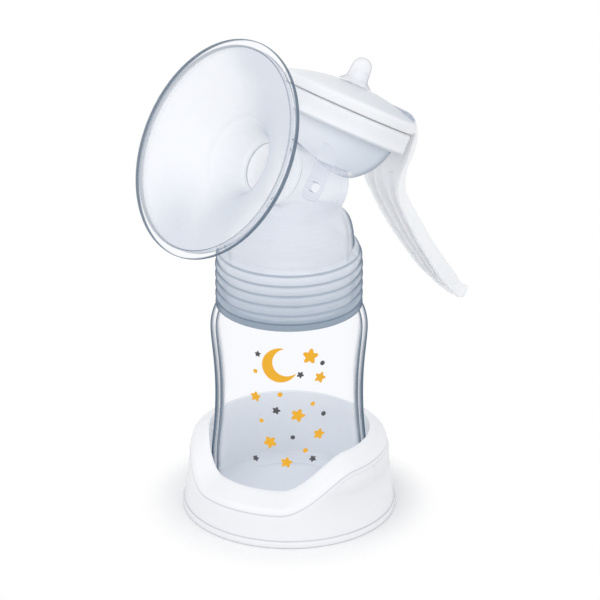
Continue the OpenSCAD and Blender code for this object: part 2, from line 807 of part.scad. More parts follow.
module fork() {
    side_w = 2.5;
    inside = stem_d/2 + free_gap;
    for (side = [-1, 1]) translate([0, side*(inside + side_w/2), 0]) {
        across(side_w) union() {
            translate([0, fork_z]) circle(r = fork_r, $fn = 32);
            polygon([[0, fork_z - fork_r], [pin_x - 2, fork_z - fork_r],
                     [pin_x - 2, fork_z + 1.4], [pin_x - 12, fork_z + 0.6], [0, fork_z + 0.6]]);
        }
    }
}

module handle() {
    slot = stem_d/2 + 0.7;
    color("snow")
    head() difference() {
        union() {
            hood();
            arm();
            knuckle();
            fork();
        }
        // slot for the stem, long enough for the hood's swing
        translate([-2.2, 0, skirt_z + 5]) cylinder(r = slot, h = 20);
        translate([-2.2, -slot, skirt_z + 5]) cube([2.4, 2*slot, 20]);
        translate([0.2, 0, skirt_z + 5]) cylinder(r = slot, h = 20);
        // room for the cap's cheeks
        for (side = [-1, 1])
            translate([0, side*(knuckle_w/2 + slide_gap*2 + cheek_w/2), 0])
                across(cheek_w + 4*slide_gap) union() {
                    translate([pin_x, pin_z]) circle(r = 3, $fn = 48);
                    translate([pin_x - 8, pin_z - 8]) square([9, 10.4]);
                }
        // bore for the pin
        translate([pin_x, 0, pin_z]) rotate([90, 0, 0])
            cylinder(r = pin_d/2 + slide_gap, h = knuckle_w + 12, center = true, $fn = 48);
    }
}

stand();
bottle();
bottle_seal();
pump_body();
end_plug();
outlet_valve();
funnel();
funnel_cushion();
vacuum_bowl();
bowl_seal();
diaphragm();
stem();
stem_washer();
lift_collar();
pull_tab();
cap();
handle();
handle_pin();
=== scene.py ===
import json
import math

import bmesh
import bpy
from mathutils import Matrix, Vector


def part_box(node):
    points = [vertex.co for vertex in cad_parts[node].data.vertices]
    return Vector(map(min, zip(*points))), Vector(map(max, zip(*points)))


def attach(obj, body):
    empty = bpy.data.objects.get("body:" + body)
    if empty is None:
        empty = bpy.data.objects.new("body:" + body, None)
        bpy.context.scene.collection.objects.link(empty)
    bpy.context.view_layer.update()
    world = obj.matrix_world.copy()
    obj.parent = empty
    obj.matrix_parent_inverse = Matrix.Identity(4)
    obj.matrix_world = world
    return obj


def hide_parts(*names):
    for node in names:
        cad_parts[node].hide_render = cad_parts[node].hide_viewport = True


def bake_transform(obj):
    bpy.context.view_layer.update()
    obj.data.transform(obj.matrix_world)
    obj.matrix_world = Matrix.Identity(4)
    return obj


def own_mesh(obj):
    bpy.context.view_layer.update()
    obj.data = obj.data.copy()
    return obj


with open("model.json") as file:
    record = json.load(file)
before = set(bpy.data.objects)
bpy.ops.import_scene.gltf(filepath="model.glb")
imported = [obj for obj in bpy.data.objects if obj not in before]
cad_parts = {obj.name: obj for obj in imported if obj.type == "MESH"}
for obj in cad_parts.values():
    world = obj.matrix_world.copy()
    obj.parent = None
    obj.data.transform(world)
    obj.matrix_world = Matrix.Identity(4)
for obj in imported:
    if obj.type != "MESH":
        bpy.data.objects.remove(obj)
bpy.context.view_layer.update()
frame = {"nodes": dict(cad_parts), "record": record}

MM = 0.001


# ---- places from the frame ----------------------------------------------

def joint(name):
    return next(j for j in frame["record"]["behaviour"]["joints"] if j["name"] == name)


stem_axis = joint("stem_lift")["axis"]
TILT = math.atan2(stem_axis[0], stem_axis[2])
pin_at = Vector(joint("handle_squeeze")["pos_m"])
TURN = Matrix.Rotation(TILT, 4, "Y")
PIN_X, PIN_Z = 26.6, 33.4
HEAD_AT = pin_at - TURN.to_3x3() @ Vector((PIN_X * MM, 0, PIN_Z * MM))
HEAD = Matrix.Translation(HEAD_AT) @ TURN
REACH = 55.0   # from the head's axis to the funnel's rim
ALONG = HEAD @ Matrix.Translation((-REACH * MM, 0, 0)) @ Matrix.Rotation(math.radians(90), 4, "Y")

bottle_lo, bottle_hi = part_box("bottle")
BASE_Z = bottle_lo.z / MM
MOUTH_Z = bottle_hi.z / MM

# Millimetres. The bottle's heights are above its base, those of the cap, crown and tab are in
# the head's frame, and the others are above the table.
BOTTLE_R, BOTTLE_WALL = 31.4, 2.0
NECK_R, NECK_TOP = 24.9, 97.0
SHOULDER_LOW, SHOULDER_HIGH = 70.7, 84.7
FUNNEL_R = (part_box("funnel")[1].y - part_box("funnel")[0].y) / 2 / MM
HOOD_R = 28.0
COLLAR_R, COLLAR_Z = 29.2, 90.1
CAP_Z = 34.0
CROWN_Z = 43.5
TAB_Z = CROWN_Z + 1.3
DIP_AT, DIP_FLAT, DIP_SIDE = -156.5, 24, 48   # degrees round the stand
RIM_LOW, RIM_RISE = 20.5, 13.5
RIM_DROP, RIM_SLOPE = 6.34, 0.928   # the rim's outer edge is lower than its inner edge
STAND_WALL, STAND_R, STAND_TAPER, CUP_R = 3.4, 42.76, 0.12, 32.2


# ---- camera --------------------------------------------------------------

def aim(a, e):
    """The view's right, up and back directions from an azimuth and an elevation."""
    right = Vector((math.cos(a), math.sin(a), 0))
    back = Vector((math.sin(a) * math.cos(e), -math.cos(a) * math.cos(e), math.sin(e)))
    return right, back.cross(right), back


CAM_AZ, CAM_EL, CAM_D = -0.63673, 0.418398, 1450.0
AIM, AIM_RIGHT, AIM_UP = Vector((0, 0, 90)), 4.3268, -1.2245   # the view's middle, and its shift
FRAME_PX, SENSOR_MM, PX_PER_MM = 600, 36, 2.52536
FOCAL_PX = PX_PER_MM * CAM_D
right, up, back = aim(CAM_AZ, CAM_EL)
cam_data = bpy.data.cameras.new("camera")
cam_data.sensor_width = SENSOR_MM
cam_data.lens = FOCAL_PX / FRAME_PX * SENSOR_MM
cam_data.clip_start, cam_data.clip_end = 0.05, 50
camera = bpy.data.objects.new("camera", cam_data)
bpy.context.scene.collection.objects.link(camera)
camera.location = (AIM + right * AIM_RIGHT + up * AIM_UP + back * CAM_D) * MM
camera.rotation_mode = "QUATERNION"
camera.rotation_quaternion = Matrix((right, up, back)).transposed().to_quaternion()
bpy.context.scene.camera = camera


# ---- node helpers --------------------------------------------------------

def new_material(name):
    m = bpy.data.materials.new(name)
    m.use_nodes = True
    m.node_tree.nodes.clear()
    return m


class Tree:
    """Short names for building a node tree."""

    def __init__(self, tree):
        self.t = tree

    def add(self, kind, inputs=None, **props):
        n = self.t.nodes.new(kind)
        for k, v in props.items():
            setattr(n, k, v)
        for k, v in (inputs or {}).items():
            if isinstance(v, bpy.types.NodeSocket):
                self.t.links.new(v, n.inputs[k])
            else:
                n.inputs[k].default_value = v
        return n

    def ramp(self, fac, stops):
        n = self.add("ShaderNodeValToRGB", {"Fac": fac})
        r = n.color_ramp
        r.interpolation = "LINEAR"
        while len(r.elements) > 1:
            r.elements.remove(r.elements[-1])
        for i, (p, c) in enumerate(stops):
            e = r.elements[0] if i == 0 else r.elements.new(p)
            e.position = p
            e.color = c if len(c) == 4 else (*c, 1)
        return n.outputs["Color"]

    def scale(self, value, lo, hi, out_lo=0.0, out_hi=1.0):
        n = self.add("ShaderNodeMapRange", {"Value": value, "From Min": lo, "From Max": hi,
                                            "To Min": out_lo, "To Max": out_hi})
        return n.outputs["Result"]

    def soft_step(self, value, lo, hi):
        n = self.add("ShaderNodeMapRange", {"Value": value, "From Min": lo, "From Max": hi},
                     interpolation_type="SMOOTHSTEP")
        return n.outputs["Result"]

    def maths(self, op, a, b=0.0, c=0.0, clamp=False):
        n = self.add("ShaderNodeMath", {0: a, 1: b, 2: c}, operation=op, use_clamp=clamp)
        return n.outputs[0]

    def mix(self, fac, a, b):
        n = self.add("ShaderNodeMix", data_type="RGBA")
        for k, v in ((0, fac), (6, a), (7, b)):
            if isinstance(v, bpy.types.NodeSocket):
                self.t.links.new(v, n.inputs[k])
            else:
                n.inputs[k].default_value = v if k == 0 or len(v) == 4 else (*v, 1)
        return n.outputs[2]

    def where(self):
        return self.add("ShaderNodeTexCoord").outputs["Object"]

    def in_head(self, where):
        """x, y and z in the tilted head's own frame."""
        moved = self.add("ShaderNodeVectorMath", {0: where, 1: HEAD_AT}, operation="SUBTRACT").outputs[0]
        turned = self.add("ShaderNodeVectorRotate", {"Vector": moved, "Angle": -TILT},
                          rotation_type="Y_AXIS").outputs[0]
        parts = self.add("ShaderNodeSeparateXYZ", {0: turned}).outputs
        return parts[0], parts[1], parts[2]

    def off_axis(self, y, z):
        squares = self.maths("ADD", self.maths("MULTIPLY", y, y), self.maths("MULTIPLY", z, z))
        return self.maths("SQRT", squares)

    def out(self, shader):
        self.add("ShaderNodeOutputMaterial", {"Surface": shader})


def see_through(name, face, edge, tint, open_to, close_to, power, rough=0.08, bump=0.0, paint=None,
                line=0.9):
    """See-through plastic: open_to is its haze face on and close_to where it turns away, where
    line is the strength of a dark edge line. Light shines through it onto what is inside.
    paint(t, where, colour, solid) may change the colour and the haze by place."""
    m = new_material(name)
    t = Tree(m.node_tree)
    facing = t.add("ShaderNodeLayerWeight", {"Blend": 0.5}).outputs["Facing"]
    steep = t.maths("POWER", facing, power, clamp=True)
    where = t.where()
    cloud = t.add("ShaderNodeTexNoise", {"Vector": where, "Scale": 55, "Detail": 2}).outputs["Fac"]
    middle = tuple(0.6 * f + 0.4 * e for f, e in zip(face, edge))
    colour = t.ramp(t.maths("ADD", steep, t.scale(cloud, 0.3, 0.7, -0.02, 0.02), clamp=True),
                    [(0, face), (0.5, middle)])
    solid = t.scale(steep, 0, 0.5, open_to, close_to)
    if paint:
        colour, solid = paint(t, where, colour, solid)
    inputs = {"Base Color": colour, "Roughness": rough, "IOR": 1.45, "Specular IOR Level": 0.25}
    if bump:
        fine = t.add("ShaderNodeTexNoise", {"Vector": where, "Scale": 800, "Detail": 3}).outputs["Fac"]
        inputs["Normal"] = t.add("ShaderNodeBump", {"Height": fine, "Strength": bump,
                                                    "Distance": 0.0002}).outputs["Normal"]
    wall = t.add("ShaderNodeBsdfPrincipled", inputs).outputs["BSDF"]
    see = t.add("ShaderNodeBsdfTransparent", {"Color": (*tint, 1)}).outputs["BSDF"]
    seen = t.add("ShaderNodeMixShader", {0: solid, 1: see, 2: wall}).outputs["Shader"]
    dark = t.add("ShaderNodeBsdfDiffuse", {"Color": (*edge, 1)}).outputs["BSDF"]
    lined = t.add("ShaderNodeMixShader",
                  {0: t.scale(steep, 0.12, 0.42, 0, line), 1: seen, 2: dark}).outputs["Shader"]
    light = t.add("ShaderNodeBsdfTransparent", {"Color": (0.985, 0.987, 0.99, 1)}).outputs["BSDF"]
    path = t.add("ShaderNodeLightPath").outputs
    shaded = t.add("ShaderNodeMixShader",
                   {0: path["Is Diffuse Ray"], 1: lined, 2: light}).outputs["Shader"]
    t.out(t.add("ShaderNodeMixShader",
                {0: path["Is Shadow Ray"], 1: shaded, 2: light}).outputs["Shader"])
    return m


def milky(name, colour, edge, rough=0.3, glow=0.3, bump=0.04, power=2.0, paint=None):
    """White moulded plastic or silicone with light spreading a little below its surface."""
    m = new_material(name)
    t = Tree(m.node_tree)
    facing = t.add("ShaderNodeLayerWeight", {"Blend": 0.4}).outputs["Facing"]
    where = t.where()
    cloud = t.add("ShaderNodeTexNoise", {"Vector": where, "Scale": 45, "Detail": 3}).outputs["Fac"]
    fac = t.maths("ADD", t.maths("POWER", facing, power), t.scale(cloud, 0.3, 0.7, -0.04, 0.04), clamp=True)
    base = t.ramp(fac, [(0, colour), (1, edge)])
    if paint:
        base = paint(t, where, base)
    fine = t.add("ShaderNodeTexNoise", {"Vector": where, "Scale": 700, "Detail": 3}).outputs["Fac"]
    normal = t.add("ShaderNodeBump", {"Height": fine, "Strength": bump, "Distance": 0.0002})
    s = t.add("ShaderNodeBsdfPrincipled",
              {"Base Color": base, "Roughness": rough, "IOR": 1.45, "Normal": normal.outputs["Normal"],
               "Subsurface Weight": glow, "Subsurface Scale": 0.004})
    s.inputs["Subsurface Radius"].default_value = (1.0, 0.9, 0.85)
    t.out(s.outputs["BSDF"])
    return m


# ---- materials -----------------------------------------------------------

WHITE = (0.9, 0.9, 0.92)
SLATE = (0.13, 0.18, 0.25)
GROOVES = (90.6, 94.3, 98.4, 102.6, 106.8, 110.9)   # heights of the grooves round the collar


def past(t, value, at, spread):
    """0 where a value in metres is below a place in millimetres, and 1 above it."""
    return t.soft_step(value, (at - spread) * MM, (at + spread) * MM)


def band(t, value, at, spread):
    """1 where a value in metres is at a place in millimetres, and 0 from spread away on."""
    off = t.maths("ABSOLUTE", t.maths("SUBTRACT", value, at * MM))
    return t.maths("SUBTRACT", 1.0, t.soft_step(off, spread * 0.3 * MM, spread * MM))


def most(t, values):
    out = values[0]
    for v in values[1:]:
        out = t.maths("MAXIMUM", out, v)
    return out


def both(t, *values):
    out = values[0]
    for v in values[1:]:
        out = t.maths("MULTIPLY", out, v)
    return out


def inverse(t, value):
    return t.maths("SUBTRACT", 1.0, value)


def paint_body(t, where, colour, solid):
    """Painted shade in the collar's grooves and along its lower edge, a collar greyer towards
    that edge, a greyer dome under a paler head, and the white ends of the snap studs."""
    x, y, z = t.in_head(where)
    px, py, pz = t.add("ShaderNodeSeparateXYZ", {0: where}).outputs
    dome_r, collar_top, dome_top = 27.0, 113.0, 134.0
    stud_x, stud_z, stud_r, stud_from = -12.6, 0.9, 1.95, 14.3
    outside = past(t, t.off_axis(px, py), dome_r, 0.2)
    collar = both(t, outside, inverse(t, past(t, pz, collar_top, 1.5)))
    down = t.soft_step(pz, (collar_top + 4) * MM, (COLLAR_Z + 1.9) * MM)
    colour = t.mix(both(t, collar, down), colour, (0.44, 0.5, 0.575))
    head = past(t, pz, dome_top, 3)
    dome = both(t, inverse(t, outside), inverse(t, head))
    colour = t.mix(dome, colour, (0.755, 0.778, 0.82))
    colour = t.mix(head, colour, (0.88, 0.895, 0.925))
    # painted shade in the collar's grooves
    grooves = most(t, [band(t, pz, at, 0.75) for at in GROOVES])
    colour = t.mix(both(t, collar, grooves, 0.75), colour, (0.3, 0.36, 0.44))
    solid = t.maths("MAXIMUM", solid, both(t, collar, t.maths("ADD", 0.8, both(t, grooves, 0.15))))
    # painted shade along the collar's lower edge, where it hangs over the bottle's shoulder
    edge = inverse(t, past(t, pz, COLLAR_Z + 1.05, 0.65))
    colour = t.mix(edge, colour, (0.2, 0.26, 0.33))
    solid = t.maths("MAXIMUM", solid, both(t, edge, 0.95))
    from_stud = t.off_axis(t.maths("SUBTRACT", x, stud_x * MM), t.maths("SUBTRACT", z, stud_z * MM))
    stud = t.maths("MULTIPLY", t.maths("LESS_THAN", from_stud, stud_r * MM),
                   t.maths("GREATER_THAN", t.maths("ABSOLUTE", y), stud_from * MM))
    colour = t.mix(stud, colour, WHITE)
    solid = t.maths("MAXIMUM", solid, stud)
    return colour, solid


def paint_funnel(t, where, colour, solid):
    """Two dark lines: the rolled rim's outside, and its inner edge."""
    x, y, z = t.in_head(where)
    out = t.off_axis(y, z)
    rim = most(t, [past(t, out, FUNNEL_R - 0.275, 0.175),
                   both(t, band(t, out, FUNNEL_R - 3.1, 0.6), 0.75)])
    colour = t.mix(rim, colour, (0.09, 0.14, 0.2))
    solid = t.maths("ADD", solid, both(t, rim, 0.85), clamp=True)
    return colour, solid


def paint_liner(t, where, colour, solid):
    """Painted shade greys the cone's top and bottom and its -y side. Painted light makes the
    tunnel white, with a grey line round its mouth."""
    x, y, z = t.in_head(where)
    out = t.off_axis(y, z)
    slant = t.maths("ADD", z, t.maths("MULTIPLY", y, -0.5))
    up_down = past(t, t.maths("ABSOLUTE", slant), 26, 10)
    near = inverse(t, past(t, y, 2, 14))
    top_fade = inverse(t, past(t, y, 19, 15))
    side = both(t, near, past(t, y, -29, 11))
    # painted shade over the cone's top, bottom and -y side
    shade = t.maths("MAXIMUM", both(t, up_down, top_fade, 0.7), both(t, side, 0.7))
    colour = t.mix(shade, colour, (0.64, 0.68, 0.75))
    solid = t.maths("ADD", solid, both(t, shade, 0.35), clamp=True)
    # painted light: the tunnel nearly white and nearly solid
    painted_light_tunnel = past(t, x, -(REACH - 27), 2)
    mouth = both(t, band(t, x, -(REACH - 28.6), 0.5), 0.7)
    colour = t.mix(painted_light_tunnel, colour, (0.98, 0.98, 0.985))
    colour = t.mix(mouth, colour, (0.3, 0.33, 0.38))
    solid = t.maths("MAXIMUM", solid, both(t, painted_light_tunnel, 0.9))
    return colour, solid


def paint_bowl(t, where, colour, solid):
    """Greyer towards the handle's side, paler at the funnel's, and nearly clear along the snap tongues."""
    x, y, z = t.in_head(where)
    across = t.scale(t.maths("ADD", x, t.maths("MULTIPLY", y, -0.6)), -0.024, 0.026)
    greyer_across = t.ramp(across, [(0, (0.85, 0.865, 0.9)), (0.45, (0.75, 0.785, 0.84)),
                            (1, (0.62, 0.675, 0.75))])
    foot_z = 10.5
    high = past(t, z, foot_z + 1, 1)
    colour = t.mix(high, colour, greyer_across)
    solid = both(t, solid, t.scale(high, 0, 1, 0.3, 1))
    under = band(t, z, foot_z + 0.2, 0.6)
    colour = t.mix(both(t, under, 0.5), colour, (0.36, 0.42, 0.5))
    solid = t.maths("ADD", solid, both(t, high, 0.75), clamp=True)
    return colour, solid


def paint_crown(t, where, base):
    """Crown of the hood: white under the tab and at the funnel's side, and grey-blue towards the lever's,
    deepened there by painted shade.
    """
    x, y, z = t.in_head(where)
    over_rim = past(t, t.off_axis(x, y), HOOD_R - 0.25, 0.75)
    crown = both(t, past(t, z, CROWN_Z - 5, 0.7), inverse(t, over_rim))
    # painted shade: the crown darkens from the funnel's side to the lever's
    across = t.scale(x, -0.026, 0.025)
    top = t.ramp(across, [(0, (0.9, 0.905, 0.925)), (0.35, (0.79, 0.81, 0.85)),
                          (0.6, (0.66, 0.695, 0.755)), (1, (0.47, 0.525, 0.605))])
    foot_x, foot_r = -1.0, 8.0
    foot = inverse(t, past(t, t.off_axis(t.maths("SUBTRACT", x, foot_x * MM), y), foot_r, 1.5))
    top = t.mix(foot, top, (0.9, 0.9, 0.915))
    return t.mix(crown, base, top)


def paint_cap(t, where, base):
    """Painted shade as a darker line along the cap's lower edge."""
    z = t.in_head(where)[2]
    cap_foot = 26.15
    # painted shade along the cap's lower edge
    return t.mix(both(t, inverse(t, past(t, z, cap_foot, 0.45)), 0.6), base, (0.42, 0.47, 0.53))


def paint_stand(t, where, base):
    """Inside of the cup, pale with painted light and a little darker towards its floor, and painted
    shade as fine lines along the stand's outer shoulder and its foot.
    """
    p = t.add("ShaderNodeSeparateXYZ", {0: where}).outputs
    out = t.off_axis(p[0], p[1])
    shoulder_r, below_rim = 38.0, 1.9
    inside = inverse(t, past(t, out, CUP_R + 0.3, 0.2))
    # painted light: the cup's inside is painted pale, a little darker towards its floor
    cup = t.ramp(t.scale(p[2], 0.004, 0.036), [(0, (0.88, 0.9, 0.92)), (0.25, (0.92, 0.93, 0.95)),
                                                (1, (0.94, 0.95, 0.96))])
    turned = t.maths("SUBTRACT", t.maths("ARCTAN2", p[1], p[0]), math.radians(DIP_AT))
    away = t.maths("ABSOLUTE", t.maths("WRAP", turned, math.pi, -math.pi))
    side = t.soft_step(away, math.radians(DIP_FLAT), math.radians(DIP_FLAT + DIP_SIDE))
    rim = t.maths("MULTIPLY_ADD", side, RIM_RISE * MM, RIM_LOW * MM)
    line_z = t.maths("MULTIPLY_ADD", rim, 1 / RIM_SLOPE, -(RIM_DROP / RIM_SLOPE + below_rim) * MM)
    # painted shade along the crease under the rim's outer edge
    line = band(t, t.maths("SUBTRACT", p[2], line_z), 0.0, 0.45)
    # painted shade at the foot's step and along its bottom edge
    foot = t.maths("MAXIMUM", band(t, p[2], 3.05, 0.35), both(t, band(t, p[2], 0.1, 0.6), 0.8))
    lines = both(t, t.maths("MAXIMUM", line, foot), past(t, out, shoulder_r, 0.5))
    return t.mix(both(t, lines, 0.55), t.mix(inside, base, cup), (0.5, 0.51, 0.55))


MAT = {
    "stand": milky("stand_white", (0.905, 0.905, 0.918), (0.76, 0.765, 0.79), 0.25, 0.1, 0.015, power=5.0,
                   paint=paint_stand),
    "bottle": see_through("bottle_clear", (0.88, 0.9, 0.94), (0.1, 0.15, 0.21), (0.99, 0.993, 1.0),
                          0.02, 0.5, 5.6, 0.05),
    "body": see_through("body_clear", (0.8, 0.825, 0.87), SLATE, (0.95, 0.96, 0.985),
                        0.66, 0.92, 4.6, 0.12, 0.03, paint_body),
    # the lip's dark face colour is painted shade under the collar
    "lip": see_through("lip_painted_shade", (0.3, 0.36, 0.43), SLATE, (0.9, 0.92, 0.95), 0.9, 0.97, 3.6, 0.12),
    "funnel": see_through("funnel_clear", (0.82, 0.85, 0.9), (0.1, 0.15, 0.21), (0.98, 0.985, 0.995),
                          0.04, 0.6, 5.0, 0.06, paint=paint_funnel),
    "liner": see_through("liner_clear", (0.9, 0.905, 0.925), (0.5, 0.56, 0.65), (0.98, 0.985, 0.995),
                         0.6, 0.85, 5.5, 0.25, 0.04, paint_liner, line=0.12),
    "bowl": see_through("bowl_smoky", (0.78, 0.8, 0.85), (0.2, 0.26, 0.33), (0.965, 0.972, 0.985),
                        0.35, 0.95, 3.6, 0.3, 0.05, paint_bowl, line=0.5),
    "milky": milky("milky_white", (0.86, 0.865, 0.89), (0.6, 0.63, 0.7), 0.3, 0.3, power=4.0),
    "cap": milky("cap_white", (0.89, 0.895, 0.91), (0.5, 0.55, 0.62), 0.32, 0.6, power=5.0, paint=paint_cap),
    "handle": milky("handle_white", (0.92, 0.922, 0.935), (0.66, 0.69, 0.74), 0.28, 0.6, power=5.0,
                    paint=paint_crown),
    "pin": milky("pin_white", (0.8, 0.8, 0.84), (0.7, 0.7, 0.76), 0.3, 0.1),
    "soft": milky("soft_silicone", (0.84, 0.86, 0.9), (0.6, 0.64, 0.72), 0.45, 0.3, 0.06, power=4.0),
    "tab": see_through("tab_silicone", (0.95, 0.95, 0.96), (0.55, 0.56, 0.6), (0.96, 0.965, 0.98),
                       0.5, 0.9, 3.4, 0.4, 0.05, line=0.7),
    "amber": milky("print_amber", (0.87, 0.43, 0.01), (0.8, 0.4, 0.03), 0.35, 0.0, 0.02),
    "grey": milky("print_grey", (0.07, 0.07, 0.08), (0.1, 0.1, 0.12), 0.35, 0.0, 0.02),
}

NODE_LOOK = {
    "stand": "stand", "bottle": "bottle", "bottle_seal": "soft", "pump_body": "body",
    "end_plug": "body", "outlet_valve": "soft", "funnel": "funnel", "funnel_cushion": "liner",
    "vacuum_bowl": "bowl", "bowl_seal": "soft", "diaphragm": "soft", "stem": "milky",
    "stem_washer": "milky", "lift_collar": "milky", "pull_tab": "tab", "cap": "cap",
    "handle": "handle", "handle_pin": "pin",
}
for node, look in NODE_LOOK.items():
    for s in frame["nodes"][node].material_slots:
        s.material = MAT[look]


# ---- mesh helpers --------------------------------------------------------

def make(name, points, faces, look, body, at=None, sharp=40.0):
    """A mesh piece from points in millimetres, placed by a matrix, riding on a body."""
    bm = bmesh.new()
    vs = [bm.verts.new(Vector(p) * MM) for p in points]
    for f in faces:
        if len(set(f)) > 2:
            try:
                bm.faces.new([vs[i] for i in f])
            except ValueError:
                pass   # these points already have a face
    bmesh.ops.remove_doubles(bm, verts=bm.verts, dist=2e-6)
    if at is not None:
        bm.transform(at)
    bmesh.ops.recalc_face_normals(bm, faces=bm.faces)
    me = bpy.data.meshes.new(name)
    bm.to_mesh(me)
    bm.free()
    me.shade_smooth()
    me.set_sharp_from_angle(angle=math.radians(sharp))
    o = bpy.data.objects.new(name, me)
    bpy.context.scene.collection.objects.link(o)
    me.materials.append(MAT[look])
    if body:
        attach(o, body)
    return o


def grid_faces(rows, cols, wrap_rows=False, wrap_cols=True):
    """Faces between rows of points, which may join end to end either way."""
    faces = []
    for i in range(rows if wrap_rows else rows - 1):
        for k in range(cols if wrap_cols else cols - 1):
            a, b = i * cols + k, i * cols + (k + 1) % cols
            c, d = ((i + 1) % rows) * cols + (k + 1) % cols, ((i + 1) % rows) * cols + k
            faces.append((a, b, c, d))
    return faces


def lathe(name, profile, look, body, at=None, n=128):
    """Turns a closed outline of (r, z) points about z."""
    points = []
    for r, z in profile:
        for k in range(n):
            a = 2 * math.pi * k / n
            points.append((r * math.cos(a), r * math.sin(a), z))
    return make(name, points, grid_faces(len(profile), n, wrap_rows=True), look, body, at, sharp=60)


def arc(cx, cy, r, a, b, n):
    """Points on a circle from a to b degrees."""
    return [(cx + r * math.cos(math.radians(a + (b - a) * i / n)),
             cy + r * math.sin(math.radians(a + (b - a) * i / n))) for i in range(n + 1)]


def bend(a, b, c, n):
    """Points on a quadratic curve from a to c, pulled towards b."""
    out = []
    for i in range(n + 1):
        t = i / n
        out.append(tuple(p * (1 - t) ** 2 + 2 * q * t * (1 - t) + r * t * t for p, q, r in zip(a, b, c)))
    return out


def straight(a, b, n):
    """The n points that lead in equal steps from a to b, without a itself."""
    return [tuple(p + (q - p) * i / n for p, q in zip(a, b)) for i in range(1, n + 1)]


def behind(points, t):
    """The curve that lies t behind a curve."""
    out = []
    for i, p in enumerate(points):
        q, r = points[max(i - 1, 0)], points[min(i + 1, len(points) - 1)]
        d = (r[0] - q[0], r[1] - q[1])
        k = t / (math.hypot(*d) or 1)
        out.append((p[0] + k * d[1], p[1] - k * d[0]))
    return out


def bake(o):
    """Applies every modifier."""
    deps = bpy.context.evaluated_depsgraph_get()
    me = bpy.data.meshes.new_from_object(o.evaluated_get(deps))
    old = o.data
    o.modifiers.clear()
    o.data = me
    bpy.data.meshes.remove(old)


def softened(name, node, look, body, voxel, passes):
    """Replaces a CAD node by a copy with its edges rounded, as moulded plastic has them."""
    bm = bmesh.new()
    bm.from_mesh(frame["nodes"][node].data)
    bmesh.ops.remove_doubles(bm, verts=bm.verts, dist=1e-6)
    me = bpy.data.meshes.new(name)
    bm.to_mesh(me)
    bm.free()
    o = bpy.data.objects.new(name, me)
    bpy.context.scene.collection.objects.link(o)
    r = o.modifiers.new("voxels", "REMESH")
    r.mode = "VOXEL"
    r.voxel_size = voxel * MM
    s = o.modifiers.new("smooth", "SMOOTH")
    s.factor = 0.5
    s.iterations = passes
    bake(o)
    o.data.shade_smooth()
    o.data.materials.clear()
    o.data.materials.append(MAT[look])
    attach(o, body)
    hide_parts(node)
    return o


# ---- stand ---------------------------------------------------------------

def rim_z(degrees):
    """Height of the rim's inner edge, which dips in front of the bottle."""
    off = abs(((degrees - DIP_AT + 540) % 360) - 180)
    t = min(max((off - DIP_FLAT) / DIP_SIDE, 0), 1)
    return RIM_LOW + RIM_RISE * t * t * (3 - 2 * t)


def outer_z(zi):
    """Height of the rim's outer edge where its inner edge is at zi."""
    return (zi - RIM_DROP) / RIM_SLOPE


def stand_section(zi):
    """Closed outline of the stand's wall and floor where the rim's inner edge is at zi."""
    zo = outer_z(zi)
    ro = STAND_R - STAND_TAPER * zo
    under = zo - STAND_WALL
    line = [(0.0, 5.0), (16, 5.0), (29.8, 5.0), (31.2, 5.25), (31.95, 5.9), (CUP_R, 7.0)]
    line += straight(line[-1], (CUP_R, zi - 1.0), 5)
    line += [(CUP_R + 0.04, zi - 0.6), (CUP_R + 0.22, zi - 0.33), (CUP_R + 0.6, zi - 0.42)]
    fall = 0.6 * (ro - 1.6 - line[-1][0])
    top_z = zi - 0.42 - fall
    line += straight(line[-1], (ro - 1.6, top_z), 5)
    line += bend(line[-1], (ro - 0.1, top_z - 0.85), (ro + 0.2, zo - 1.9), 6)[1:]
    line += straight(line[-1], (42.38, 3.25), 8)
    line += [(42.42, 3.0), (42.56, 2.93), (42.86, 2.86), (42.98, 2.6), (43.0, 2.2), (43.0, 0.4),
             (42.88, 0.1), (42.6, 0.0), (41.4, 0.0), (41.0, 0.3)]
    line += [(40.2, under - 1.5), (39.4, under), (36.6, under + 0.8), (34.9, under + 0.3),
             (34.2, under - 1), (34.2, 0.3), (33.9, 0.0), (31.6, 0.0), (31.2, 0.4), (31.2, 2.6),
             (31.0, 2.8), (0.0, 2.8)]
    return line


def build_stand():
    """Shell that is turned section by section, with eight ribs under its sloping wall."""
    n, ribs, rib_half = 240, 8, 0.75
    columns = [stand_section(rim_z(360 * k / n)) for k in range(n)]
    rows = len(columns[0])
    points = []
    for i in range(rows):
        for k in range(n):
            a = 2 * math.pi * k / n
            r, z = columns[k][i]
            points.append((r * math.cos(a), r * math.sin(a), z))
    faces = grid_faces(rows, n)
    for k in range(ribs):
        a = 2 * math.pi * (k + 0.5) / ribs
        c, s = math.cos(a), math.sin(a)
        top = outer_z(rim_z(math.degrees(a))) - STAND_WALL
        base = len(points)
        for r, z in ((34.0, 1), (40.9, 1), (40.3, top - 1), (34.0, top)):
            for w in (-rib_half, rib_half):
                points.append((r * c - w * s, r * s + w * c, z))
        faces += [tuple(base + i for i in f) for f in
                  ((0, 2, 4, 6), (1, 7, 5, 3), (0, 1, 3, 2), (2, 3, 5, 4), (4, 5, 7, 6), (6, 7, 1, 0))]
    o = make("stand_shell", points, faces, "stand", "stand", sharp=50)
    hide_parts("stand")


# ---- bottle --------------------------------------------------------------

GRIP_TURN, GRIP_Z, GRIP_DEPTH = math.radians(-36.5), 45.0, 1.8
GRIP_HALF, GRIP_LOW, GRIP_HIGH = math.radians(62), 8, 82
GRIP_ACROSS, GRIP_ALONG = 46, 182   # radii of the grip's curve round and up the bottle
PRINT_TURN = math.radians(-126.5)


def soft_min(a, b, k):
    """The smaller value, rounded over where the two are within k of each other."""
    h = max(k - abs(a - b), 0) / k
    return min(a, b) - h * h * k / 4


